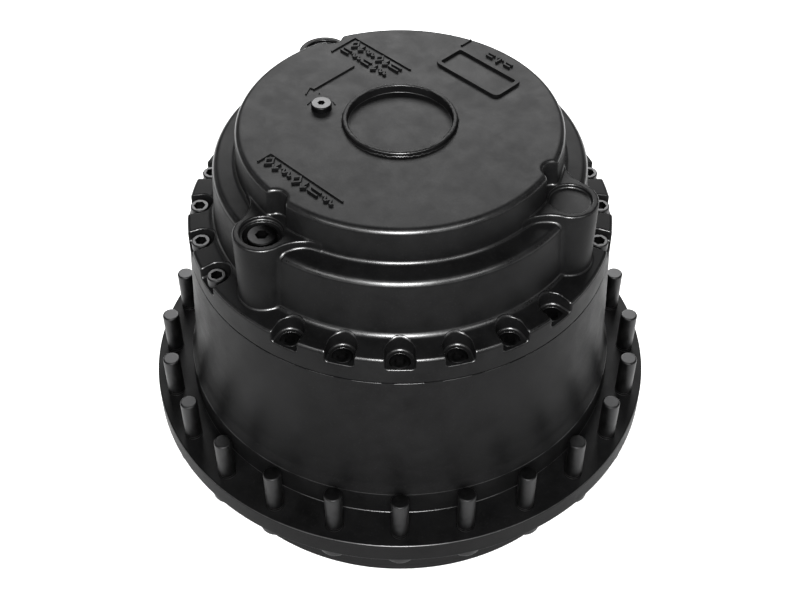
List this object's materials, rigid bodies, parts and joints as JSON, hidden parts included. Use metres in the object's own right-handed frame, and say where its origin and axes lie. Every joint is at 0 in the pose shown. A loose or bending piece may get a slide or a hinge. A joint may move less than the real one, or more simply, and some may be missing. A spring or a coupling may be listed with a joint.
{
  "type": "planetary gearbox",
  "caption": "Two-stage planetary wheel gearbox: fixed spindle, rotating flanged hub on tapered bearings, bolted stepped cover with oil plugs, wheel studs round the flange.",
  "frame": {"origin": "centre of the spindle's mounting face, the bottom of the object", "axes": "+Z along the turning axis from the spindle's mounting face to the cover's top; +Y towards the side of the cover that is uppermost when the oil is filled; the drain boss points to -Y"},
  "size_m": [0.6, 0.6, 0.4688],
  "materials": {
    "cast_paint": "satin black paint over a casting",
    "stud_steel": "dark satin steel",
    "black_steel": "black oxide",
    "gear_steel": "oiled, cut and hardened",
    "ground_steel": "ground and oiled",
    "carrier_iron": "machined ductile iron",
    "seal_rubber": "matte",
    "bronze": "turned"
  },
  "bodies": {
    "spindle": {"spindle": "cast_paint", "inner_bearing_cone": "ground_steel", "outer_bearing_cone": "ground_steel", "seal_ring_fixed": "ground_steel", "seal_toric_fixed": "seal_rubber", "output_carrier": "carrier_iron", "output_planet_pin_1": "ground_steel", "output_planet_pin_2": "ground_steel", "output_planet_pin_3": "ground_steel"},
    "hub": {"hub": "cast_paint", "cover": "cast_paint", "output_ring_gear": "gear_steel", "input_ring_gear": "gear_steel", "inner_bearing_cup": "ground_steel", "outer_bearing_cup": "ground_steel", "seal_ring_rotating": "ground_steel", "seal_toric_rotating": "seal_rubber", "cover_o_ring": "seal_rubber", "cover_screws": "black_steel", "wheel_stud_01": "stud_steel", "wheel_stud_02": "stud_steel", "wheel_stud_03": "stud_steel", "wheel_stud_04": "stud_steel", "wheel_stud_05": "stud_steel", "wheel_stud_06": "stud_steel", "wheel_stud_07": "stud_steel", "wheel_stud_08": "stud_steel", "wheel_stud_09": "stud_steel", "wheel_stud_10": "stud_steel", "wheel_stud_11": "stud_steel", "wheel_stud_12": "stud_steel", "wheel_stud_13": "stud_steel", "wheel_stud_14": "stud_steel", "wheel_stud_15": "stud_steel", "wheel_stud_16": "stud_steel", "wheel_stud_17": "stud_steel", "wheel_stud_18": "stud_steel", "wheel_stud_19": "stud_steel", "wheel_stud_20": "stud_steel", "wheel_stud_21": "stud_steel", "wheel_stud_22": "stud_steel", "wheel_stud_23": "stud_steel", "wheel_stud_24": "stud_steel", "drain_plug": "black_steel", "level_plug": "black_steel", "thrust_pad": "bronze"},
    "inner_bearing_cage": {"inner_bearing_rollers": "ground_steel"},
    "outer_bearing_cage": {"outer_bearing_rollers": "ground_steel"},
    "output_planet_1": {"output_planet_1": "gear_steel"},
    "output_planet_2": {"output_planet_2": "gear_steel"},
    "output_planet_3": {"output_planet_3": "gear_steel"},
    "input_carrier": {"input_carrier": "carrier_iron", "output_sun": "gear_steel", "input_planet_pin_1": "ground_steel", "input_planet_pin_2": "ground_steel", "input_planet_pin_3": "ground_steel"},
    "input_planet_1": {"input_planet_1": "gear_steel"},
    "input_planet_2": {"input_planet_2": "gear_steel"},
    "input_planet_3": {"input_planet_3": "gear_steel"},
    "input_shaft": {"input_sun_shaft": "gear_steel"}
  },
  "joints": [
    {"name": "hub_spin", "type": "hinge", "parent": "spindle", "child": "hub", "pos_m": [0, 0, 0.2], "axis": [0, 0, 1], "continuous": true},
    {"name": "inner_rollers_spin", "type": "hinge", "parent": "spindle", "child": "inner_bearing_cage", "pos_m": [0, 0, 0.0863], "axis": [0, 0, 1], "continuous": true},
    {"name": "outer_rollers_spin", "type": "hinge", "parent": "spindle", "child": "outer_bearing_cage", "pos_m": [0, 0, 0.179], "axis": [0, 0, 1], "continuous": true},
    {"name": "output_planet_1_spin", "type": "hinge", "parent": "spindle", "child": "output_planet_1", "pos_m": [0, 0.132, 0.268], "axis": [0, 0, 1], "continuous": true},
    {"name": "output_planet_2_spin", "type": "hinge", "parent": "spindle", "child": "output_planet_2", "pos_m": [-0.11431, -0.066, 0.268], "axis": [0, 0, 1], "continuous": true},
    {"name": "output_planet_3_spin", "type": "hinge", "parent": "spindle", "child": "output_planet_3", "pos_m": [0.11431, -0.066, 0.268], "axis": [0, 0, 1], "continuous": true},
    {"name": "input_carrier_spin", "type": "hinge", "parent": "spindle", "child": "input_carrier", "pos_m": [0, 0, 0.35], "axis": [0, 0, 1], "continuous": true},
    {"name": "input_planet_1_spin", "type": "hinge", "parent": "input_carrier", "child": "input_planet_1", "pos_m": [0, 0.105, 0.354], "axis": [0, 0, 1], "continuous": true},
    {"name": "input_planet_2_spin", "type": "hinge", "parent": "input_carrier", "child": "input_planet_2", "pos_m": [-0.09093, -0.0525, 0.354], "axis": [0, 0, 1], "continuous": true},
    {"name": "input_planet_3_spin", "type": "hinge", "parent": "input_carrier", "child": "input_planet_3", "pos_m": [0.09093, -0.0525, 0.354], "axis": [0, 0, 1], "continuous": true},
    {"name": "input_shaft_spin", "type": "hinge", "parent": "spindle", "child": "input_shaft", "pos_m": [0, 0, 0.25], "axis": [0, 0, 1], "continuous": true}
  ],
  "couplings": [
    {"joint": "inner_rollers_spin", "follows": "hub_spin", "ratio": 0.53001},
    {"joint": "outer_rollers_spin", "follows": "hub_spin", "ratio": 0.5328},
    {"joint": "output_planet_1_spin", "follows": "hub_spin", "ratio": 3.2},
    {"joint": "output_planet_2_spin", "follows": "hub_spin", "ratio": 3.2},
    {"joint": "output_planet_3_spin", "follows": "hub_spin", "ratio": 3.2},
    {"joint": "input_carrier_spin", "follows": "hub_spin", "ratio": -2.6667},
    {"joint": "input_planet_1_spin", "follows": "hub_spin", "ratio": 9.7778},
    {"joint": "input_planet_2_spin", "follows": "hub_spin", "ratio": 9.7778},
    {"joint": "input_planet_3_spin", "follows": "hub_spin", "ratio": 9.7778},
    {"joint": "input_shaft_spin", "follows": "hub_spin", "ratio": -17.333}
  ]
}
